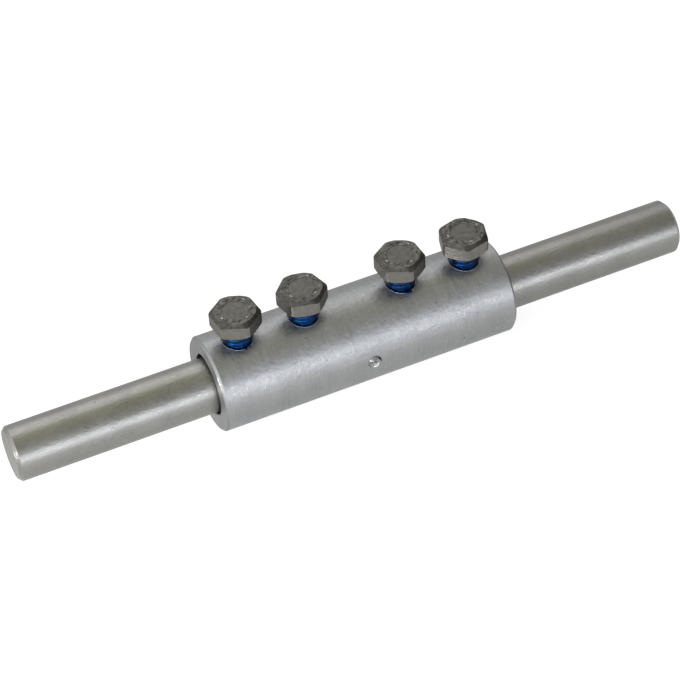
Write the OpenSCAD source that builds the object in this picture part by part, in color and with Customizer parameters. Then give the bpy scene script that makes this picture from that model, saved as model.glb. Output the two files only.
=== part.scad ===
// Bolted connecting sleeve
// A short thick tube joins two round bars end to end. Hex bolts run through its top
// wall and press the bars onto the bottom of the bore. A coiled spring pin at the
// middle stops each bar. Dried blue coating fills the thread below each bolt's head.
// Millimetres. X runs along the bars, Z along the bolts. The origin is at the middle
// of the sleeve's length, on its lowest line.

/* [Sleeve] */
// Outside diameter of the sleeve
sleeve_d = 28; // [26:0.5:31]
// Length of the sleeve
sleeve_len = 90; // [80:1:140]
// Diameter of the bore
bore_d = 18; // [17:0.5:20]
// Bevel on the sleeve's outer edges
sleeve_bevel = 0.7; // [0.2:0.1:1.5]
// Bevel at each mouth of the bore
mouth_bevel = 0.3; // [0.1:0.1:1]
// From the sleeve's end to the axis of the outer bolt
hole_from_end = 10; // [8:0.5:14]
// Between the two bolts at each end
hole_pitch = 20; // [16:0.5:24]

/* [Bars] */
// Diameter of the bars
bar_d = 16; // [14:0.5:16.5]
// Length of each bar
bar_len = 100; // [70:1:200]
// Bevel on the bars' ends
bar_bevel = 1; // [0.3:0.1:2.5]
// How much the stretch inside the sleeve narrows towards its end, on the radius
bar_lead = 0.03; // [0.01:0.01:0.2]
// Space between the left bar's inner end and the stop pin
left_bar_gap = 1.4; // [0.2:0.1:5]
// Space between the right bar's inner end and the stop pin
right_bar_gap = 0.3; // [0.2:0.1:5]
// Where the left bar touches the bore, in degrees round from the lowest line
left_bar_seat = 35; // [-50:5:50]
// Where the right bar touches the bore, in degrees round from the lowest line
right_bar_seat = 0; // [-50:5:50]

/* [Bolts] */
// Outside diameter of the thread
bolt_d = 8; // [6:0.5:9]
// Length of the bolt under its head
bolt_len = 11.5; // [11:0.5:20]
// Bevel at the tip of the bolt
tip_bevel = 1; // [0.3:0.1:1.5]
// Width of the head across its flats
head_flats = 13; // [12:0.5:15]
// Height of the head with its washer face
head_h = 5.4; // [3:0.1:8]
// How much each corner of the head is rounded off
corner_trim = 0.25; // [0:0.05:0.6]
// Width of the round bevel at the corners, measured from its top edge to the flats' line
head_bevel = 0.6; // [0.1:0.05:1]
// Slope of that bevel, in degrees
head_slope = 38; // [15:1:45]
// Width of the straight bevel over each flat
flat_bevel = 0.45; // [0.1:0.05:0.9]
// How far below the top the straight bevel meets its flat
flat_drop = 1; // [0.6:0.1:1.5]
// Slope of the bevel round the bottom of the head, which starts at the flats
foot_slope = 30; // [15:1:40]
// How far the washer face lies inside the flats
washer_inset = 0.6; // [0.2:0.1:1]
// Height of the washer face
washer_h = 0.3; // [0.1:0.1:1]
// How far each bolt is turned, as the angle of one corner from X
bolt_turns = [-23, -13.5, -26.5, -46]; // [-60:0.5:60]

/* [Thread coating] */
// Thickness of the coating over the thread, at its ridges
coat_t = 0.45; // [0.4:0.05:0.8]
// Depth of the grooves between its ridges
coat_groove = 0.25; // [0.1:0.05:0.3]
// From one ridge to the next, which is the pitch of the thread
thread_pitch = 1.25; // [1:0.05:1.5]
// Space between the coating and the wall of the recess that it fills
sink_rim = 0.12; // [0.05:0.01:0.5]

/* [Stop pin] */
// Diameter of the coiled spring pin
pin_d = 4; // [3:0.5:5]
// Length of the pin
pin_len = 10; // [8:0.5:14]
// Thickness of the pin's wall, which is its sheet wound round several times
pin_wall = 1.4; // [1:0.05:1.6]
// Thickness of the sheet
pin_sheet = 0.35; // [0.2:0.05:0.6]
// Width of the groove along the pin, where the outermost turn ends
pin_seam = 0.3; // [0.2:0.05:0.6]
// Bevel at the pin's ends
pin_bevel = 0.25; // [0.1:0.05:0.6]
// How far the pin's outer end lies below the surface of the sleeve
pin_recess = 0.1; // [0.1:0.1:1.5]
// How far round from the bolts the pin is, in degrees
pin_angle = 87; // [60:1:120]

/* [Clearances] */
// Between a bar and the bore, and between a bar and the tip of a bolt
seat_gap = 0.05; // [0.02:0.01:0.1]
// Between a bolt and its hole or its coating, on the radius
thread_gap = 0.05; // [0.02:0.01:0.1]
// Between the coating and the floor of its recess
coat_gap = 0.1; // [0.05:0.01:0.3]
// Between the pin and its hole, on the radius
pin_gap = 0.02; // [0.01:0.01:0.05]

/* [Hidden] */
$fn = 96;

zinc_colour = "#b4b9bf";
bar_colour = "#9b9a94";
bolt_colour = "#6d6a64";
coat_colour = "#0a3b8c";
pin_colour = "#8b8d8e";

// Room that a cutting shape runs past the surface it cuts
past = 2;

sleeve_r = sleeve_d / 2;
bore_r = bore_d / 2;
bar_r = bar_d / 2;
bolt_r = bolt_d / 2;
pin_r = pin_d / 2;
axis_z = sleeve_r;

// Bolt places, from the left end of the sleeve to the right
outer_x = sleeve_len / 2 - hole_from_end;
inner_x = outer_x - hole_pitch;
bolt_x = [-outer_x, -inner_x, inner_x, outer_x];

// A bar lies on the bore, so its axis is lower than the bore's axis by their play
bar_play = bore_r - bar_r - seat_gap;
function bar_y(seat) = bar_play * sin(seat);
function bar_z(seat) = -bar_play * cos(seat);
left_inner_x = -pin_r - left_bar_gap;
right_inner_x = pin_r + right_bar_gap;

// A bolt's tip rests on the bar below it
function bar_seat(i) = bolt_x[i] < 0 ? left_bar_seat : right_bar_seat;
function tip_z(i) = bar_z(bar_seat(i)) + bar_r + seat_gap;

// Head of the bolt
head_r = head_flats / 2;
corner_r = head_r / cos(30) - corner_trim;
head_top_r = head_r - head_bevel;
head_bevel_h = (corner_r - head_top_r) * tan(head_slope);
flat_top_r = head_r - flat_bevel;

// Threaded hole, and the flat recess at its mouth, just deep enough to reach all the way
// round where the wall of the sleeve falls away at the sides
hole_r = bolt_r + thread_gap;
coat_r = bolt_r + coat_t;
sink_r = coat_r + sink_rim;
sink_z = sqrt(sleeve_r * sleeve_r - sink_r * sink_r) - sink_rim;

// Tube of the sleeve along Z, with its edges bevelled
module sleeve_tube() {
    rotate_extrude()
        polygon([
            [bore_r + mouth_bevel, 0],
            [sleeve_r - sleeve_bevel, 0],
            [sleeve_r, sleeve_bevel],
            [sleeve_r, sleeve_len - sleeve_bevel],
            [sleeve_r - sleeve_bevel, sleeve_len],
            [bore_r + mouth_bevel, sleeve_len],
            [bore_r, sleeve_len - mouth_bevel],
            [bore_r, mouth_bevel]
        ]);
}

// Threaded hole and recess through the top wall, on the sleeve's axis
module bolt_hole() {
    cylinder(r = hole_r, h = sleeve_r + past);
    translate([0, 0, sink_z]) cylinder(r = sink_r, h = sleeve_r + past - sink_z);
}

module sleeve() {
    color(zinc_colour)
    translate([0, 0, axis_z])
    difference() {
        translate([-sleeve_len / 2, 0, 0]) rotate([0, 90, 0]) sleeve_tube();
        for (x = bolt_x) translate([x, 0, 0]) bolt_hole();
        rotate([pin_angle, 0, 0]) cylinder(r = pin_r + pin_gap, h = sleeve_r + past);
    }
}

// Coiled pin with a seam along one side, pressed in from the outside
module stop_pin() {
    color(pin_colour)
    translate([0, 0, axis_z])
    rotate([pin_angle, 0, 0])
    translate([0, 0, sleeve_r - pin_recess - pin_len])
    difference() {
        rotate_extrude()
            polygon([
                [pin_r - pin_wall, 0],
                [pin_r - pin_bevel, 0],
                [pin_r, pin_bevel],
                [pin_r, pin_len - pin_bevel],
                [pin_r - pin_bevel, pin_len],
                [pin_r - pin_wall, pin_len]
            ]);
        translate([pin_r - pin_sheet, -pin_seam / 2, -past])
            cube([pin_sheet + past, pin_seam, pin_len + 2 * past]);
    }
}

// Bar along Z with its inner end at zero. The stretch that is clamped has a slight lead.
module bar(clamped_len) {
    color(bar_colour)
    rotate_extrude()
        polygon([
            [0, 0],
            [bar_r - bar_lead - bar_bevel, 0],
            [bar_r - bar_lead, bar_bevel],
            [bar_r, clamped_len],
            [bar_r, bar_len - bar_bevel],
            [bar_r - bar_bevel, bar_len],
            [0, bar_len]
        ]);
}

module left_bar() {
    translate([left_inner_x, bar_y(left_bar_seat), axis_z + bar_z(left_bar_seat)])
    rotate([0, -90, 0])
        bar(sleeve_len / 2 + left_inner_x);
}

module right_bar() {
    translate([right_inner_x, bar_y(right_bar_seat), axis_z + bar_z(right_bar_seat)])
    rotate([0, 90, 0])
        bar(sleeve_len / 2 - right_inner_x);
}

// A pair of opposite flats with the bevel over each
module flat_pair(angle) {
    rotate([0, 0, angle])
    rotate([90, 0, 0])
        linear_extrude(height = 2 * head_flats, center = true)
            polygon([
                [-head_r, washer_h],
                [head_r, washer_h],
                [head_r, head_h - flat_drop],
                [flat_top_r, head_h],
                [-flat_top_r, head_h],
                [-head_r, head_h - flat_drop]
            ]);
}

// Six flats with straight top edges, the corners rounded off and both ends bevelled,
// above a washer face
module hex_head() {
    cylinder(r = head_r - washer_inset, h = head_h / 2);
    intersection() {
        flat_pair(30);
        flat_pair(90);
        flat_pair(150);
        rotate_extrude()
            polygon([
                [0, washer_h],
                [head_r, washer_h],
                [corner_r, washer_h + (corner_r - head_r) * tan(foot_slope)],
                [corner_r, head_h - head_bevel_h],
                [head_top_r, head_h],
                [0, head_h]
            ]);
    }
}

// Threaded shank with its tip at zero
module shank() {
    rotate_extrude()
        polygon([
            [0, 0],
            [bolt_r - tip_bevel, 0],
            [bolt_r, tip_bevel],
            [bolt_r, bolt_len + head_h / 2],
            [0, bolt_len + head_h / 2]
        ]);
}

module bolt(i) {
    color(bolt_colour)
    translate([bolt_x[i], 0, axis_z + tip_z(i)])
    rotate([0, 0, bolt_turns[i]]) {
        shank();
        translate([0, 0, bolt_len]) hex_head();
    }
}

// Coating round the thread, from its recess up to the head
module bolt_coat(i) {
    inner_r = bolt_r + thread_gap;
    groove_r = coat_r - coat_groove;
    foot = sink_z + coat_gap;
    top = tip_z(i) + bolt_len - seat_gap;
    ridges = floor((top - foot) / thread_pitch);
    color(coat_colour)
    translate([bolt_x[i], 0, axis_z])
    rotate_extrude()
        polygon([
            [inner_r, foot],
            [coat_r, foot],
            for (k = [1 : ridges])
                each [
                    [groove_r, foot + (k - 0.5) * thread_pitch],
                    [coat_r, foot + k * thread_pitch]
                ],
            [groove_r, top],
            [inner_r, top]
        ]);
}

sleeve();
stop_pin();
left_bar();
right_bar();
for (i = [0 : len(bolt_x) - 1]) {
    bolt(i);
    bolt_coat(i);
}
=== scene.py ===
"""Looks of the bolted connecting sleeve: two round bars that a short thick sleeve
joins end to end, held by four hex bolts with a dried blue coating in their threads."""

import math

import bmesh
import bpy
from mathutils import Matrix, Vector


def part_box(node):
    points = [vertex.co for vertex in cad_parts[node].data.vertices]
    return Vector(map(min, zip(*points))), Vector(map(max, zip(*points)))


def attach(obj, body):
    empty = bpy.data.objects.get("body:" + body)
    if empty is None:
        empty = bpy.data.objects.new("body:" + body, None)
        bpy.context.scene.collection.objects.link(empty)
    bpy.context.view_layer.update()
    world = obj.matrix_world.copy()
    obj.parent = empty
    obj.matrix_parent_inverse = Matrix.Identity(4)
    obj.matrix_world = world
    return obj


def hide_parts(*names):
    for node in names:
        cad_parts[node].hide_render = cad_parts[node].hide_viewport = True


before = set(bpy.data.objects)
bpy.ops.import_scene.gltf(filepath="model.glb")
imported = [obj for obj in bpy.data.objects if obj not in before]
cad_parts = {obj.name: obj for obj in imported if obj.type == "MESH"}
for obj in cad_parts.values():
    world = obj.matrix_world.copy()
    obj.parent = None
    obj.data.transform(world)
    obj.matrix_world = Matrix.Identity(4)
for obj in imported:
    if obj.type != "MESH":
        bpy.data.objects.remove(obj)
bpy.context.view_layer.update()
bpy.ops.object.select_all(action="DESELECT")

MM = 0.001
BOLTS = ("bolt_1", "bolt_2", "bolt_3", "bolt_4")
# How far each bolt is turned, as the angle of one corner from X, in degrees
BOLT_TURNS = {"bolt_1": -23.0, "bolt_2": -13.5, "bolt_3": -26.5, "bolt_4": -46.0}
# The coating on these is painted darker, as painted shade
SHADED_COATING_BOLTS = ("bolt_3", "bolt_4")

# The sleeve's axis lies at half its height, over the lowest line
SLEEVE_LOW, SLEEVE_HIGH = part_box("sleeve")
SLEEVE_R = (SLEEVE_HIGH.z - SLEEVE_LOW.z) / 2
AXIS = Vector((0, 0, SLEEVE_LOW.z + SLEEVE_R))
# On the outer bevel, the burnish starts this far from the axis and is full further in
BURNISH_START_R = SLEEVE_R - 0.42 * MM
BURNISH_FULL_R = SLEEVE_R - 0.54 * MM

# Shank of an M8 bolt. The ridge of its thread fills the pitch but for a hair
THREAD_R = 4.0 * MM
THREAD_PITCH = 1.25 * MM
THREAD_ROOT_R = 3.3 * MM
RIDGE_HALF_WIDTH = 1.08 * MM
RIDGE_HALF_HEIGHT = 0.62 * MM
BOLT_LEN = 11.5 * MM
TIP_BEVEL = 1.0 * MM
# How far the thread runs on into the head
THREAD_RUN_IN = 0.2 * MM

# Its head, 13 across flats, bevelled at both ends, with a shallow disc in the middle
HEAD_FLATS = 13.0 * MM
HEAD_H = 5.4 * MM
CORNER_R = 7.256 * MM
HEAD_TOP_R = 5.92 * MM
HEAD_SLOPE = math.radians(41)
FLAT_BEVEL = 0.75 * MM
FLAT_DROP = 1.0 * MM
FOOT_SLOPE = math.radians(30)
DISC_R = 3.75 * MM
DISC_DEPTH = 0.13 * MM
WASHER_R = 5.9 * MM
WASHER_H = 0.3 * MM
WASHER_BEVEL = 0.12 * MM
WORN_EDGE_WIDTH = 0.13 * MM
# How much the normal of a face rises, at most on a flat and at least on a level face
FLAT_RISE = 0.3
LEVEL_RISE = 0.9
# Pips are small blocks with rounded edges, mostly sunk in the head
PIP_BLOCK_H = 0.6 * MM
PIP_ROUNDING = 0.15 * MM

# Coating: a film under ridges that are taller than the pitch and so merge
FILM_INSET = 0.2 * MM
FILM_THICKNESS = 0.15 * MM
COATING_HALF_WIDTH = 0.35 * MM
COATING_HALF_HEIGHT = 0.74 * MM
CRUMB_SHAPE = (0.8, 1.2, 0.6)
CRUMB_UNEVENNESS = 0.12 * MM

# Burrs round the holes: their distance from the coating or the pin, and their half thickness
BOLT_BURR_OUT = 0.25 * MM
BOLT_BURR_R = 0.065 * MM
PIN_BURR_OUT = 0.03 * MM
PIN_BURR_R = 0.04 * MM
BURR_FLATNESS = 0.8

# Coiled spring pin with swaged ends, 87 degrees round, that just shows over the surface
PIN_R = 2.0 * MM
PIN_LEN = 10.0 * MM
PIN_PROUD = 0.1 * MM
PIN_ANGLE = math.radians(87)
PIN_SHEET = 0.55 * MM
PIN_PLAY = 0.05 * MM
PIN_ROUNDING = 0.14 * MM
PIN_TURNS = 2.8
PIN_STEP = 0.16
PIN_SEAM = math.radians(42)
# Height of each row of points along the pin, and how far it is swaged in
PIN_ROWS = ((0, 0.89), (0.3 * MM, 0.98), (0.5 * MM, 1),
            (PIN_LEN - 0.5 * MM, 1), (PIN_LEN - 0.3 * MM, 0.98), (PIN_LEN, 0.89))

# Steps to a turn of a helix, and how near two points are that count as one
COIL_STEPS = 48
SAME_PLACE = 1e-7


# Colours and nodes

def linear(hex_colour):
    """A colour written as sRGB hex, turned to linear."""
    channels = [int(hex_colour[i:i + 2], 16) / 255 for i in (1, 3, 5)]
    return [c / 12.92 if c <= 0.04045 else ((c + 0.055) / 1.055) ** 2.4 for c in channels] + [1.0]


def add_node(tree, kind, inputs=None, gives=0, **settings):
    """Adds a node with its settings, sets or links its inputs, and gives one of its outputs."""
    made = tree.nodes.new(kind)
    for name, value in settings.items():
        setattr(made, name, value)
    for name, value in (inputs or {}).items():
        if isinstance(value, bpy.types.NodeSocket):
            tree.links.new(value, made.inputs[name])
        else:
            made.inputs[name].default_value = value
    return made.outputs[gives] if len(made.outputs) else None


def new_material(name):
    """An empty material, with its tree and the shader that its finish goes into."""
    material = bpy.data.materials.new(name)
    material.use_nodes = True
    return material, material.node_tree, material.node_tree.nodes["Principled BSDF"]


# What finishes are made of

def skin_noise(tree, place, size_mm, detail=2.0, stretch=(1, 1, 1)):
    """Unevenness with features of a real size in millimetres, stretched along an axis."""
    scale = tuple(1 / (size_mm * MM * s) for s in stretch)
    laid = add_node(tree, "ShaderNodeMapping", {"Vector": place, "Scale": scale})
    return add_node(tree, "ShaderNodeTexNoise",
                    {"Vector": laid, "Scale": 1.0, "Detail": detail, "Roughness": 0.6},
                    gives="Fac")


def only_where(tree, *limits):
    """A mark that shows only where each of these values, given with its low and its high
    level, has passed from the one to the other."""
    shown = 1.0
    for value, low, high in limits:
        passed = add_node(tree, "ShaderNodeMapRange",
                          {"Value": value, "From Min": low, "From Max": high})
        shown = add_node(tree, "ShaderNodeMath", {0: passed, 1: shown}, operation="MULTIPLY")
    return shown


def laid_over(tree, colour, layers):
    """A colour under layers of others. Each layer is a pattern, its low and high level, how
    much it covers where the pattern is high, and its colour."""
    colour = linear(colour)
    for pattern, low, high, share, over in layers:
        cover = add_node(tree, "ShaderNodeMapRange",
                         {"Value": pattern, "From Min": low, "From Max": high, "To Max": share})
        # Sockets 6 and 7 take the two colours of a mix, and socket 2 gives the mixed one
        colour = add_node(tree, "ShaderNodeMix", {0: cover, 6: colour, 7: linear(over)},
                          gives=2, data_type="RGBA")
    return colour


def built_up(tree, start, parts):
    """A roughness or height that starts at a level. Each part is a pattern, its low and high
    level, and what it adds where the pattern is high."""
    total = start
    for pattern, low, high, share in parts:
        added = add_node(tree, "ShaderNodeMapRange",
                         {"Value": pattern, "From Min": low, "From Max": high, "To Max": share})
        total = add_node(tree, "ShaderNodeMath", {0: added, 1: total}, operation="ADD")
    return total


def bevelled(tree):
    """How far the surface slopes like a turned bevel, at 45 degrees to the X axis."""
    normal = add_node(tree, "ShaderNodeTexCoord", gives="Normal")
    along = add_node(tree, "ShaderNodeSeparateXYZ", {0: normal}, gives="X")
    steepness = add_node(tree, "ShaderNodeMath", {0: along}, operation="ABSOLUTE")
    # It is 0 on the barrel, 0.7 on a bevel and 1 on an end face
    return only_where(tree, (steepness, 0.5, 0.6), (steepness, 0.9, 0.8))


def finish_skin(tree, shader, colour, height, relief):
    """Links a surface's colour and its relief, whose depth is in metres."""
    bump = add_node(tree, "ShaderNodeBump",
                    {"Height": height, "Strength": 1.0, "Distance": relief})
    tree.links.new(colour, shader.inputs["Base Color"])
    tree.links.new(bump, shader.inputs["Normal"])


def finish_metal(tree, shader, colour, roughness, height, relief):
    """Links a bare metal's colour, roughness and relief."""
    shader.inputs["Metallic"].default_value = 1.0
    tree.links.new(roughness, shader.inputs["Roughness"])
    finish_skin(tree, shader, colour, height, relief)


# Finishes

def zinc_plated_steel():
    """Turned mild steel with bright zinc plating: satin, close to neutral grey, mottled like
    fine orange peel, with turning lines round it, rubbed marks and a few small dents."""
    material, tree, shader = new_material("zinc_plated_steel")
    place = add_node(tree, "ShaderNodeTexCoord", gives="Object")
    clouds = skin_noise(tree, place, 7.0, 4.0)
    mottle = skin_noise(tree, place, 1.5, 3.0)
    # Crystals of the plating, really a few hundredths, drawn at 0.5 mm so that they show
    crystals = skin_noise(tree, place, 0.5)
    # Turning lines, really a tenth apart, drawn 0.4 mm apart so that they show
    turning = skin_noise(tree, place, 0.4, 3.0, (1, 40, 40))
    # Rubbed marks 0.6 mm wide and some 4 mm long, round the sleeve, only in places
    rubs = skin_noise(tree, place, 0.6, 2.0, (1, 7, 7))
    rubbed = only_where(tree, (rubs, 0.60, 0.68), (skin_noise(tree, place, 16.0), 0.54, 0.62))
    # Dents from tumbling, under 1 mm across
    dents = only_where(tree, (skin_noise(tree, place, 1.6, 1.0), 0.74, 0.80))
    # The bevels are turned duller and painted darker, as painted shade. Along the outer bevel's
    # inner edge a burnished band is smoother and lifted back to about the plain colour, so it
    # glints as a thin line
    across = add_node(tree, "ShaderNodeMapping",
                      {"Vector": place, "Location": -AXIS, "Scale": (0, 1, 1)})
    from_axis = add_node(tree, "ShaderNodeVectorMath", {0: across}, gives="Value",
                         operation="LENGTH")
    bevel = bevelled(tree)
    burnished = only_where(tree, (bevel, 0, 1), (from_axis, BURNISH_START_R, BURNISH_FULL_R))
    # The bevel layer is painted shade; the burnished layer lifts the bevel's inner edge back out
    # of it
    colour = laid_over(tree, "#a5a6a8", (
        (clouds, 0.3, 0.7, 1.0, "#b1b2b3"), (crystals, 0.5, 0.75, 0.5, "#c3c5c7"),
        (turning, 0.5, 0.3, 0.35, "#8f9192"), (dents, 0, 1, 0.7, "#7f8183"),
        (rubbed, 0, 1, 0.7, "#d0d3d6"), (bevel, 0, 1, 0.6, "#8f9192"),
        (burnished, 0, 1, 0.8, "#a9abad")))
    roughness = built_up(tree, 0.50, (
        (mottle, 0.3, 0.7, -0.12), (crystals, 0.5, 0.75, -0.12), (rubbed, 0, 1, -0.10),
        (bevel, 0, 1, 0.10), (burnished, 0, 1, -0.28)))
    height = built_up(tree, 0.0, (
        (mottle, 0, 1, 0.9), (crystals, 0, 1, 0.15), (turning, 0, 1, 0.15),
        (dents, 0, 1, -0.25)))
    finish_metal(tree, shader, colour, roughness, height, 0.1 * MM)
    return material


def drawn_bar_steel():
    """Cold drawn bar: satin and faintly warm, with die lines along it, a finely mottled
    skin that glitters where the light falls, and small pits."""
    material, tree, shader = new_material("drawn_bar_steel")
    place = add_node(tree, "ShaderNodeTexCoord", gives="Object")
    clouds = skin_noise(tree, place, 9.0, 4.0)
    mottle = skin_noise(tree, place, 1.0, 3.0, (1.3, 1, 1))
    # Grain, really a few hundredths, drawn at 0.5 mm so that it shows
    grain = skin_noise(tree, place, 0.5)
    # Die lines, really finer, drawn 0.4 mm apart so that they show
    die_lines = skin_noise(tree, place, 0.4, 3.0, (50, 1, 1))
    pits = only_where(tree, (skin_noise(tree, place, 1.1, 1.0), 0.74, 0.80))
    colour = laid_over(tree, "#9b9a97", (
        (clouds, 0.3, 0.7, 1.0, "#a9a8a5"), (grain, 0.5, 0.75, 0.5, "#bbbab7"),
        (die_lines, 0.5, 0.3, 0.2, "#82817b"), (pits, 0, 1, 0.7, "#6d6c67")))
    roughness = built_up(tree, 0.43, (
        (mottle, 0.3, 0.7, -0.14), (grain, 0.5, 0.75, -0.08), (bevelled(tree), 0, 1, -0.08)))
    height = built_up(tree, 0.0, (
        (mottle, 0, 1, 0.6), (grain, 0, 1, 0.2), (die_lines, 0, 1, 0.05), (pits, 0, 1, -0.25)))
    finish_metal(tree, shader, colour, roughness, height, 0.1 * MM)
    return material


def cold_worked_steel(name, dark, light, dull, relief):
    """Steel that was shaped cold and tumbled: blotched, with an uneven skin that is dull
    where it was forged and smoother where it was trimmed, rolled or rubbed."""
    material, tree, shader = new_material(name)
    place = add_node(tree, "ShaderNodeTexCoord", gives="Object")
    # Blotches from tumbling, 1.2 mm across, and pores, really finer, drawn at 0.35 mm
    blotches = skin_noise(tree, place, 1.2, 5.0)
    pores = skin_noise(tree, place, 0.35)
    colour = laid_over(tree, dark, (
        (blotches, 0.35, 0.65, 1.0, light), (pores, 0.5, 0.35, 0.4, dark)))
    # The light blotches are a tenth smoother
    roughness = built_up(tree, dull, ((blotches, 0.35, 0.65, -0.10),))
    height = built_up(tree, 0.0, ((blotches, 0, 1, 1.0), (pores, 0, 1, 0.3)))
    finish_metal(tree, shader, colour, roughness, height, relief)
    return material


def dried_blue_coating(name, deep, pale):
    """Thread coating, dried: a clear deep blue film with a soft gloss. The bright thread
    shines through it, so it reflects blue."""
    material, tree, shader = new_material(name)
    place = add_node(tree, "ShaderNodeTexCoord", gives="Object")
    # Uneven flow, 1 mm across
    flow = skin_noise(tree, place, 1.1, 3.0)
    colour = laid_over(tree, deep, ((flow, 0.35, 0.65, 1.0, pale),))
    shader.inputs["Metallic"].default_value = 0.9
    shader.inputs["Roughness"].default_value = 0.22
    finish_skin(tree, shader, colour, flow, 0.03 * MM)
    return material


ZINC = zinc_plated_steel()
BAR_STEEL = drawn_bar_steel()
# Stainless bolts are warm grey. Their turned bevels are painted darkest, as painted shade, and
# their edges are lighter from wear and as painted highlight.
# The pin is rolled from bright spring sheet
BOLT_STEEL = cold_worked_steel("forged_stainless", "#4f4c48", "#7e7c77", 0.48, 0.08 * MM)
# The bevel finish is painted shade
SHADED_BEVEL_STEEL = cold_worked_steel("shaded_stainless_bevel", "#4e4c48", "#686560", 0.48, 0.04 * MM)
DISC_STEEL = cold_worked_steel("coined_stainless_disc", "#66645f", "#716f6a", 0.48, 0.02 * MM)
FLAT_STEEL = cold_worked_steel("trimmed_stainless_flat", "#7f7c77", "#8f8c87", 0.34, 0.01 * MM)
# Lighter edge finish: partly real wear, partly painted highlight, and on three pips painted
# glints
WORN_EDGE_AND_GLINT = cold_worked_steel("worn_and_glinting_stainless_edge", "#96938d", "#b0ada7", 0.34, 0.02 * MM)
PIN_STEEL = cold_worked_steel("rolled_spring_steel", "#a3a4a5", "#bebfc0", 0.24, 0.01 * MM)
BLUE_COATING = dried_blue_coating("dried_blue_coating", "#001b3b", "#043f7b")
# A darker copy of the coating, as painted shade, for bolts 3 and 4
SHADED_COATING = dried_blue_coating("shaded_blue_coating", "#001633", "#02356b")

HEAD_FINISHES = (BOLT_STEEL, WORN_EDGE_AND_GLINT, FLAT_STEEL, DISC_STEEL, SHADED_BEVEL_STEEL)


# Ways of working

def active(name):
    """Names the piece that was just made."""
    piece = bpy.context.object
    piece.name = name
    piece.data.name = name
    return piece


def select_only(*pieces):
    """Selects these pieces and makes the first one active."""
    bpy.ops.object.select_all(action="DESELECT")
    for piece in pieces:
        piece.select_set(True)
    bpy.context.view_layer.objects.active = pieces[0]


def pick_edges(wanted):
    """In edit mode, selects the edges that are wanted."""
    bpy.ops.mesh.select_mode(type="EDGE")
    bpy.ops.mesh.select_all(action="DESELECT")
    edited = bmesh.from_edit_mesh(bpy.context.object.data)
    for edge in edited.edges:
        if wanted(edge):
            edge.select_set(True)
    bmesh.update_edit_mesh(bpy.context.object.data)


def apply_modifier(piece, kind, **settings):
    """Adds a modifier with its settings and applies it."""
    select_only(piece)
    modifier = piece.modifiers.new(kind.title(), kind)
    for name, value in settings.items():
        setattr(modifier, name, value)
    bpy.ops.object.modifier_apply(modifier=modifier.name)


def keep_place_in_mesh(piece):
    """Moves the piece's place, turn and scale into its mesh."""
    select_only(piece)
    bpy.ops.object.transform_apply(location=True, rotation=True, scale=True)


def join(first, *others):
    """Joins pieces into the first one."""
    select_only(first, *others)
    bpy.ops.object.join()
    return first


def cut(piece, cutter, operation):
    """Cuts a piece with another, which goes."""
    apply_modifier(piece, "BOOLEAN", object=cutter, operation=operation, solver="EXACT")
    bpy.data.objects.remove(cutter)


def coil(name, section_corners, outer_r, half_width, half_height, low, high):
    """A closed helical ridge of the thread's pitch, between two heights."""
    bpy.ops.mesh.primitive_circle_add(vertices=section_corners, radius=1.0)
    ridge = active(name)
    ridge.rotation_euler = (math.radians(90), 0, 0)
    ridge.scale = (half_width, half_height, 1)
    ridge.location = (outer_r - half_width, 0, low + half_height)
    keep_place_in_mesh(ridge)
    turns = (high - low - 2 * half_height) / THREAD_PITCH
    steps = int(COIL_STEPS * turns)
    apply_modifier(ridge, "SCREW", axis="Z", angle=2 * math.pi * turns, steps=steps,
                   render_steps=steps, screw_offset=THREAD_PITCH * turns)
    bpy.ops.object.mode_set(mode="EDIT")
    pick_edges(lambda edge: edge.is_boundary)
    bpy.ops.mesh.fill()
    bpy.ops.mesh.select_all(action="SELECT")
    bpy.ops.mesh.remove_doubles(threshold=SAME_PLACE)
    bpy.ops.mesh.normals_make_consistent(inside=False)
    bpy.ops.object.mode_set(mode="OBJECT")
    return ridge


# Hex bolts

def hex_head():
    """Forged head: six trimmed flats, corners turned off, a bevel round the top and the foot,
    and a shallow disc in the middle."""
    flats_h = HEAD_H - WASHER_H
    half_flats = HEAD_FLATS / 2
    bpy.ops.mesh.primitive_cylinder_add(
        vertices=6, radius=half_flats / math.cos(math.radians(30)), depth=flats_h,
        location=(0, 0, WASHER_H + flats_h / 2), rotation=(0, 0, math.radians(30)))
    head = active("hex_head")
    keep_place_in_mesh(head)
    bpy.ops.object.mode_set(mode="EDIT")
    for flat in range(6):
        out_x = math.cos(math.radians(30 + 60 * flat))
        out_y = math.sin(math.radians(30 + 60 * flat))
        bpy.ops.mesh.select_all(action="SELECT")
        bpy.ops.mesh.bisect(
            plane_co=(half_flats * out_x, half_flats * out_y, HEAD_H - FLAT_DROP),
            plane_no=(out_x * FLAT_DROP, out_y * FLAT_DROP, FLAT_BEVEL),
            use_fill=True, clear_outer=True, threshold=SAME_PLACE)
    bpy.ops.object.mode_set(mode="OBJECT")
    bpy.ops.mesh.primitive_cone_add(
        vertices=144, radius1=HEAD_TOP_R + HEAD_H / math.tan(HEAD_SLOPE), radius2=HEAD_TOP_R,
        depth=HEAD_H, location=(0, 0, HEAD_H / 2))
    cut(head, active("corner_bevel"), "INTERSECT")
    bpy.ops.mesh.primitive_cone_add(
        vertices=144, radius1=half_flats, radius2=half_flats + flats_h / math.tan(FOOT_SLOPE),
        depth=flats_h, location=(0, 0, WASHER_H + flats_h / 2))
    cut(head, active("foot_cone"), "INTERSECT")
    bpy.ops.mesh.primitive_cylinder_add(
        vertices=144, radius=CORNER_R, depth=2 * HEAD_H, location=(0, 0, HEAD_H / 2))
    cut(head, active("turned_blank"), "INTERSECT")
    bpy.ops.mesh.primitive_cone_add(
        vertices=96, radius1=DISC_R - DISC_DEPTH, radius2=DISC_R + DISC_DEPTH,
        depth=2 * DISC_DEPTH, location=(0, 0, HEAD_H))
    cut(head, active("disc_recess"), "DIFFERENCE")
    return head


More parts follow.
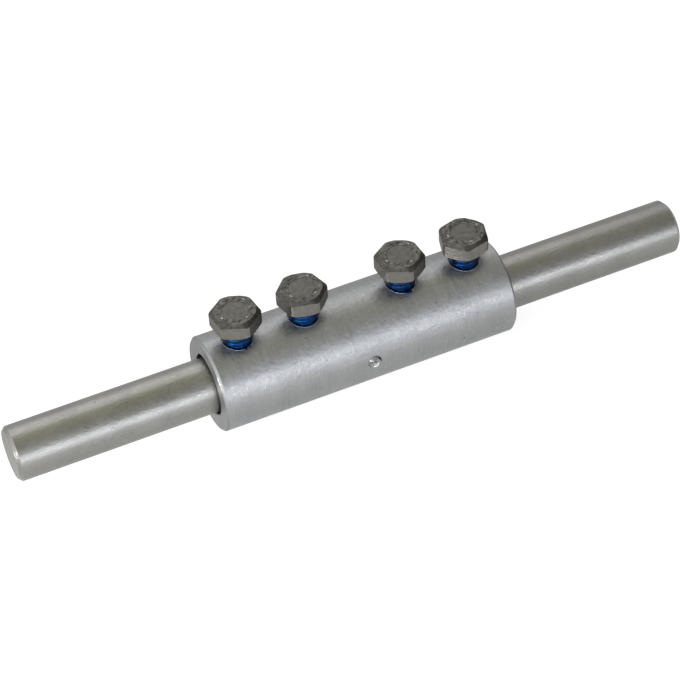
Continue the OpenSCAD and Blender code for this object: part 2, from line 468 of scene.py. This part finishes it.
def finish_head(head):
    """Gives each face of the head its finish, with the bevels painted darker as shade, and rounds
    the edges, which wear bright and carry a painted highlight.
    """
    for finish in HEAD_FINISHES:
        head.data.materials.append(finish)
    for face in head.data.polygons:
        if abs(face.normal.z) < FLAT_RISE:
            face.material_index = HEAD_FINISHES.index(FLAT_STEEL)
        elif FLAT_RISE < face.normal.z < LEVEL_RISE:
            face.material_index = HEAD_FINISHES.index(SHADED_BEVEL_STEEL)
        elif abs(face.center.z - (HEAD_H - DISC_DEPTH)) < 0.1 * DISC_DEPTH:
            face.material_index = HEAD_FINISHES.index(DISC_STEEL)
    apply_modifier(head, "BEVEL", width=WORN_EDGE_WIDTH, segments=2, limit_method="ANGLE",
                   angle_limit=math.radians(24), material=HEAD_FINISHES.index(WORN_EDGE_AND_GLINT),
                   use_clamp_overlap=True)


# Pips on the head: angle round it in degrees, then distance from its middle, length, width
# and height over the top in millimetres, and finish
PIPS = (
    (8, 4.7, 1.5, 0.5, 0.18, BOLT_STEEL),
    (31, 4.5, 0.6, 0.6, 0.20, BOLT_STEEL),
    (58, 4.8, 1.2, 0.5, 0.24, WORN_EDGE_AND_GLINT),
    (97, 4.6, 0.9, 0.5, 0.18, BOLT_STEEL),
    (121, 4.7, 1.6, 0.5, 0.20, BOLT_STEEL),
    (166, 4.6, 0.7, 0.7, 0.20, BOLT_STEEL),
    (190, 4.8, 1.3, 0.5, 0.18, BOLT_STEEL),
    (223, 4.6, 1.1, 0.6, 0.26, WORN_EDGE_AND_GLINT),
    (262, 4.7, 1.4, 0.5, 0.18, BOLT_STEEL),
    (285, 4.6, 0.7, 0.6, 0.20, BOLT_STEEL),
    (318, 4.7, 1.0, 0.5, 0.24, WORN_EDGE_AND_GLINT),
    (341, 4.7, 0.6, 0.5, 0.18, BOLT_STEEL))


def raised_pips():
    """Small raised pips and bars in a ring on the head, sunk in it and each set askew. Three of
    them have the lighter edge finish, as painted glints."""
    pips = []
    for number, (angle, ring_r, length, width, height, finish) in enumerate(PIPS):
        bpy.ops.mesh.primitive_cube_add(size=1.0)
        pip = active("pip_%d" % number)
        pip.scale = (width * MM, length * MM, PIP_BLOCK_H)
        pip.location = (ring_r * MM * math.cos(math.radians(angle)),
                        ring_r * MM * math.sin(math.radians(angle)),
                        HEAD_H + height * MM - PIP_BLOCK_H / 2)
        askew = (37 * number) % 60 - 30
        pip.rotation_euler = (0, 0, math.radians(angle + askew))
        keep_place_in_mesh(pip)
        apply_modifier(pip, "BEVEL", width=PIP_ROUNDING, segments=2)
        pip.data.materials.append(finish)
        pips.append(pip)
    return pips


def threaded_shank():
    """Shank with its rolled thread, bevelled at the tip, and the washer face over it."""
    bpy.ops.mesh.primitive_cylinder_add(
        vertices=64, radius=THREAD_ROOT_R, depth=BOLT_LEN, location=(0, 0, -BOLT_LEN / 2))
    core = active("thread_core")
    bpy.ops.mesh.primitive_cylinder_add(
        vertices=96, radius=WASHER_R, depth=2 * WASHER_H, location=(0, 0, WASHER_H))
    washer_face = active("washer_face")
    bpy.ops.object.mode_set(mode="EDIT")
    # The edge round its lower side, where the side walls meet the one large face
    pick_edges(lambda edge: all(v.co.z < 0 for v in edge.verts) and len(edge.link_faces) == 2
               and any(len(face.verts) > 4 for face in edge.link_faces))
    bpy.ops.mesh.bevel(offset=WASHER_BEVEL, segments=2)
    bpy.ops.object.mode_set(mode="OBJECT")
    ridge = coil("thread_ridge", 4, THREAD_R, RIDGE_HALF_WIDTH, RIDGE_HALF_HEIGHT,
                 -BOLT_LEN, THREAD_RUN_IN)
    # The tip is turned to a cone, core and thread alike
    for part in (core, ridge):
        for vertex in part.data.vertices:
            reach = THREAD_R - TIP_BEVEL + (vertex.co.z + BOLT_LEN)
            out = math.hypot(vertex.co.x, vertex.co.y)
            if out > reach:
                vertex.co.x *= reach / out
                vertex.co.y *= reach / out
    for part in (core, ridge, washer_face):
        part.data.materials.append(BOLT_STEEL)
    return [core, ridge, washer_face]


def make_bolts():
    """One bolt, copied to each place with a turn of its own."""
    head = hex_head()
    finish_head(head)
    master = join(head, *raised_pips(), *threaded_shank())
    keep_place_in_mesh(master)
    for name in BOLTS:
        low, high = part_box(name)
        bolt = master.copy()
        bolt.data = master.data.copy()
        bolt.name = "hex_" + name
        bolt.data.name = bolt.name
        bpy.context.scene.collection.objects.link(bolt)
        bolt.location = ((low.x + high.x) / 2, (low.y + high.y) / 2, high.z - HEAD_H)
        bolt.rotation_euler = (0, 0, math.radians(BOLT_TURNS[name]))
        keep_place_in_mesh(bolt)
        bpy.ops.object.shade_smooth_by_angle(angle=math.radians(40))
        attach(bolt, name)
        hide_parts(name)
    bpy.data.objects.remove(master)


# Blue coating

def make_collars():
    """Coating that fills the thread between the head and the sleeve, ridge by ridge."""
    for name in BOLTS:
        low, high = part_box(name + "_coat")
        centre_x = (low.x + high.x) / 2
        outer_r = (high.x - low.x) / 2
        bpy.ops.mesh.primitive_cylinder_add(
            vertices=72, radius=outer_r - FILM_INSET, depth=high.z - low.z,
            end_fill_type="NOTHING", location=(0, 0, (high.z + low.z) / 2))
        collar = active("blue_" + name + "_collar")
        keep_place_in_mesh(collar)
        apply_modifier(collar, "SOLIDIFY", thickness=FILM_THICKNESS, offset=-1)
        ridges = coil("ridges", 12, outer_r, COATING_HALF_WIDTH, COATING_HALF_HEIGHT,
                      low.z, high.z)
        join(collar, ridges)
        collar.data.materials.append(SHADED_COATING if name in SHADED_COATING_BOLTS else BLUE_COATING)
        collar.location = (centre_x, 0, 0)
        keep_place_in_mesh(collar)
        bpy.ops.object.shade_smooth_by_angle(angle=math.radians(50))
        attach(collar, name + "_coat")
        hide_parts(name + "_coat")


# Burrs and crumbs on the sleeve

def sleeve_top(y):
    """Height of the sleeve's upper surface at this distance from its middle line."""
    return AXIS.z + math.sqrt(SLEEVE_R ** 2 - y ** 2)


def hole_rim(name, along, hole_r, burr_r, round_by):
    """A burr round a hole in the sleeve's top, turned round the sleeve's axis to its place."""
    bpy.ops.mesh.primitive_torus_add(
        major_radius=hole_r, minor_radius=burr_r, major_segments=96, minor_segments=8)
    rim = active(name)
    for vertex in rim.data.vertices:
        vertex.co.z = BURR_FLATNESS * vertex.co.z + sleeve_top(vertex.co.y) - AXIS.z
    rim.rotation_euler = (round_by, 0, 0)
    rim.location = (along, 0, AXIS.z)
    keep_place_in_mesh(rim)
    bpy.ops.object.shade_smooth_by_angle(angle=math.radians(60))
    rim.data.materials.append(ZINC)
    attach(rim, "sleeve")


def make_hole_rims():
    """The thin bright burr round the mouth of each hole."""
    for name in BOLTS:
        low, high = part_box(name + "_coat")
        hole_rim(name + "_hole_rim", (low.x + high.x) / 2,
                 (high.x - low.x) / 2 + BOLT_BURR_OUT, BOLT_BURR_R, 0)
    hole_rim("pin_hole_rim", 0, PIN_R + PIN_BURR_OUT, PIN_BURR_R, PIN_ANGLE)


# Crumbs: the bolt they lie by, their angle round it in degrees, then their distance from its
# axis and their size in millimetres
CRUMBS = (
    ("bolt_1", -82, 4.75, 0.42),
    ("bolt_1", -68, 4.85, 0.3),
    ("bolt_3", -92, 4.8, 0.65),
    ("bolt_3", -79, 4.9, 0.5))


def make_crumbs():
    """Crumbs of the coating that the thread squeezed out, lying at the foot of two bolts."""
    for number, (name, angle, reach, size) in enumerate(CRUMBS):
        low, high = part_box(name + "_coat")
        along = reach * MM * math.cos(math.radians(angle))
        out = reach * MM * math.sin(math.radians(angle))
        bpy.ops.mesh.primitive_ico_sphere_add(
            subdivisions=2, radius=size * MM,
            location=((low.x + high.x) / 2 + along, out, sleeve_top(out)),
            rotation=(math.asin(-out / SLEEVE_R), 0, math.radians(angle)))
        crumb = active("coating_crumb_%d" % (number + 1))
        crumb.scale = CRUMB_SHAPE
        bpy.ops.object.mode_set(mode="EDIT")
        bpy.ops.mesh.select_all(action="SELECT")
        bpy.ops.transform.vertex_random(offset=CRUMB_UNEVENNESS, seed=number)
        bpy.ops.object.mode_set(mode="OBJECT")
        keep_place_in_mesh(crumb)
        apply_modifier(crumb, "SUBSURF", levels=1, render_levels=1)
        bpy.ops.object.shade_smooth()
        crumb.data.materials.append(BLUE_COATING)
        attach(crumb, "sleeve")


# Stop pin

def make_pin():
    """Spring sheet rolled up into a pin, each turn round, then stepping in under the next.
    The ends are swaged in and their edges rounded."""
    last_row = len(PIN_ROWS) - 1
    bpy.ops.mesh.primitive_grid_add(x_subdivisions=120, y_subdivisions=last_row, size=1.0)
    pin = active("coiled_stop_pin")
    last_r = PIN_R - PIN_SHEET / 2
    for vertex in pin.data.vertices:
        turns_in = PIN_TURNS * (0.5 - vertex.co.x)
        steps_in = math.floor(turns_in) + max(0.0, (turns_in % 1 - 1 + PIN_STEP) / PIN_STEP)
        turn = PIN_SEAM + 2 * math.pi * turns_in
        height, swage = PIN_ROWS[round((vertex.co.y + 0.5) * last_row)]
        radius = (last_r - (PIN_SHEET + PIN_PLAY) * steps_in) * swage
        vertex.co = (radius * math.cos(turn), radius * math.sin(turn), height)
    apply_modifier(pin, "SOLIDIFY", thickness=PIN_SHEET, offset=0)
    apply_modifier(pin, "BEVEL", width=PIN_ROUNDING, segments=3, limit_method="ANGLE",
                   angle_limit=math.radians(50))
    outward = Vector((0, -math.sin(PIN_ANGLE), math.cos(PIN_ANGLE)))
    pin.rotation_euler = (PIN_ANGLE, 0, 0)
    pin.location = AXIS + outward * (SLEEVE_R + PIN_PROUD - PIN_LEN)
    keep_place_in_mesh(pin)
    bpy.ops.object.shade_smooth_by_angle(angle=math.radians(40))
    pin.data.materials.append(PIN_STEEL)
    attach(pin, "sleeve")
    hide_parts("stop_pin")


# CAD pieces that keep their shape

for node, finish in (("sleeve", ZINC), ("left_bar", BAR_STEEL), ("right_bar", BAR_STEEL)):
    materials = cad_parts[node].data.materials
    materials.clear()
    materials.append(finish)

make_bolts()
make_collars()
make_hole_rims()
make_crumbs()
make_pin()


# Floor, light and camera

def pale_floor():
    """Plain white floor, seen white by the camera, that keeps shadows. Reflections show it
    pale at the left, dimmer at the right from painted shade, and darker behind the object
    from a painted shadow."""
    bpy.ops.mesh.primitive_plane_add(size=8.0)
    floor = active("floor")
    material, tree, shader = new_material("pale_floor")
    tree.nodes.remove(shader)
    seen = add_node(tree, "ShaderNodeLightPath", gives="Is Camera Ray")
    reflected = add_node(tree, "ShaderNodeLightPath", gives="Is Glossy Ray")
    through_glass = add_node(tree, "ShaderNodeLightPath", gives="Is Transmission Ray")
    mirrored = add_node(tree, "ShaderNodeMath", {0: reflected, 1: through_glass},
                        operation="MAXIMUM")
    place = add_node(tree, "ShaderNodeTexCoord", gives="Object")
    rightward = add_node(tree, "ShaderNodeSeparateXYZ", {0: place}, gives="X")
    backward = add_node(tree, "ShaderNodeSeparateXYZ", {0: place}, gives="Y")
    # Painted shadow behind the object and painted shade towards the right, both seen only in
    # reflections
    painted_shadow_behind = add_node(tree, "ShaderNodeMapRange",
                             {"Value": backward, "From Min": 0.0, "From Max": 0.04,
                              "To Min": 0.40, "To Max": 0.12})
    dimmer_right = add_node(tree, "ShaderNodeMapRange",
                            {"Value": rightward, "From Min": -0.04, "From Max": 0.09,
                             "To Min": 0.88, "To Max": 0.6})
    glow = add_node(tree, "ShaderNodeMath", {0: painted_shadow_behind, 1: dimmer_right},
                    operation="MULTIPLY")
    mirrored_glow = add_node(tree, "ShaderNodeMath", {0: glow, 1: mirrored},
                             operation="MULTIPLY")
    # With the light that falls on the floor, this much glow makes it white
    strength = add_node(tree, "ShaderNodeMath", {0: seen, 1: 0.74, 2: mirrored_glow},
                        operation="MULTIPLY_ADD")
    paint = add_node(tree, "ShaderNodeBsdfDiffuse", {"Color": linear("#bfbfbf")})
    light = add_node(tree, "ShaderNodeEmission", {"Strength": strength})
    both = add_node(tree, "ShaderNodeAddShader", {0: paint, 1: light})
    tree.links.new(both, tree.nodes["Material Output"].inputs["Surface"])
    floor.data.materials.append(material)


def studio_room():
    """White room for the camera. For the object it is dimmer, brighter towards the left than
    the right and behind it than in front, with an olive ceiling."""
    world = bpy.data.worlds.new("studio")
    bpy.context.scene.world = world
    world.use_nodes = True
    tree = world.node_tree
    tree.nodes.clear()
    toward = add_node(tree, "ShaderNodeTexCoord", gives="Generated")
    rightward = add_node(tree, "ShaderNodeSeparateXYZ", {0: toward}, gives="X")
    backward = add_node(tree, "ShaderNodeSeparateXYZ", {0: toward}, gives="Y")
    upward = add_node(tree, "ShaderNodeSeparateXYZ", {0: toward}, gives="Z")
    dimmer_right = add_node(tree, "ShaderNodeMapRange",
                            {"Value": rightward, "From Min": -1.0, "From Max": 1.0,
                             "To Min": 1.1, "To Max": 0.15})
    dimmer_in_front = add_node(tree, "ShaderNodeMapRange",
                               {"Value": backward, "From Min": -0.6, "From Max": 0.1,
                                "To Min": 0.8, "To Max": 1.0})
    dimmed = add_node(tree, "ShaderNodeMath", {0: dimmer_right, 1: dimmer_in_front},
                      operation="MULTIPLY")
    walls = laid_over(tree, "#ffffff", ((upward, 0.75, 0.95, 1.0, "#f1f1d4"),))
    room = add_node(tree, "ShaderNodeBackground", {"Color": walls, "Strength": dimmed})
    white = add_node(tree, "ShaderNodeBackground",
                     {"Color": linear("#ffffff"), "Strength": 1.0})
    seen = add_node(tree, "ShaderNodeLightPath", gives="Is Camera Ray")
    either = add_node(tree, "ShaderNodeMixShader", {0: seen, 1: room, 2: white})
    add_node(tree, "ShaderNodeOutputWorld", {"Surface": either})


# Lamps: place, width and height in metres, radiance and colour. They aim at the sleeve
LAMPS = {
    "front_softbox": ((0.05, -1.3, 0.31), 1.7, 0.58, 2.15, "#f1f6ff"),
    "left_softbox": ((-1.03, -0.84, 0.28), 1.4, 0.40, 8.1, "#fdfcfb"),
    "back_softbox": ((-0.12, 1.1, 1.3), 2.0, 1.3, 0.76, "#ffffff")}


def softboxes():
    """Soft rectangular lamps, each of which gives off the same radiance all over."""
    for name, (place, width, height, radiance, colour) in LAMPS.items():
        lamp = bpy.data.lights.new(name, "AREA")
        lamp.shape = "RECTANGLE"
        lamp.size = width
        lamp.size_y = height
        lamp.energy = radiance * math.pi * width * height
        lamp.color = linear(colour)[:3]
        holder = bpy.data.objects.new(name, lamp)
        bpy.context.scene.collection.objects.link(holder)
        holder.location = place
        holder.rotation_euler = (AXIS - Vector(place)).to_track_quat("-Z", "Y").to_euler()


# The view that the outlines in the photograph give: azimuth from the front, elevation and
# roll in degrees, distance and shift of the aim in millimetres, focal length in pixels
VIEW_AZIMUTH, VIEW_ELEVATION, VIEW_ROLL = -22.3, 43.73, -3.57
VIEW_DISTANCE, VIEW_FOCAL = 700.5, 2467.0
VIEW_SHIFT = (3.998, 1.926)
FRAME_PIXELS, SENSOR = 680, 36.0
NEAREST_SEEN = 0.01


def photo_camera():
    """Camera at the photograph's angle."""
    azimuth, elevation, roll = (math.radians(a) for a in
                                (VIEW_AZIMUTH, VIEW_ELEVATION, VIEW_ROLL))
    back = Vector((math.sin(azimuth) * math.cos(elevation),
                   -math.cos(azimuth) * math.cos(elevation), math.sin(elevation)))
    right = Vector((0, 0, 1)).cross(back).normalized()
    up = back.cross(right)
    rolled_right = right * math.cos(roll) + up * math.sin(roll)
    rolled_up = up * math.cos(roll) - right * math.sin(roll)
    data = bpy.data.cameras.new("photo_camera")
    data.sensor_width = SENSOR
    data.lens = VIEW_FOCAL * SENSOR / FRAME_PIXELS
    data.clip_start = NEAREST_SEEN
    camera = bpy.data.objects.new("photo_camera", data)
    bpy.context.scene.collection.objects.link(camera)
    place = (AXIS + back * VIEW_DISTANCE * MM
             - rolled_right * VIEW_SHIFT[0] * MM - rolled_up * VIEW_SHIFT[1] * MM)
    turn = Matrix((rolled_right, rolled_up, back)).transposed().to_4x4()
    camera.matrix_world = Matrix.Translation(place) @ turn
    bpy.context.scene.camera = camera


pale_floor()
studio_room()
softboxes()
photo_camera()
bpy.context.scene.view_settings.view_transform = "Standard"
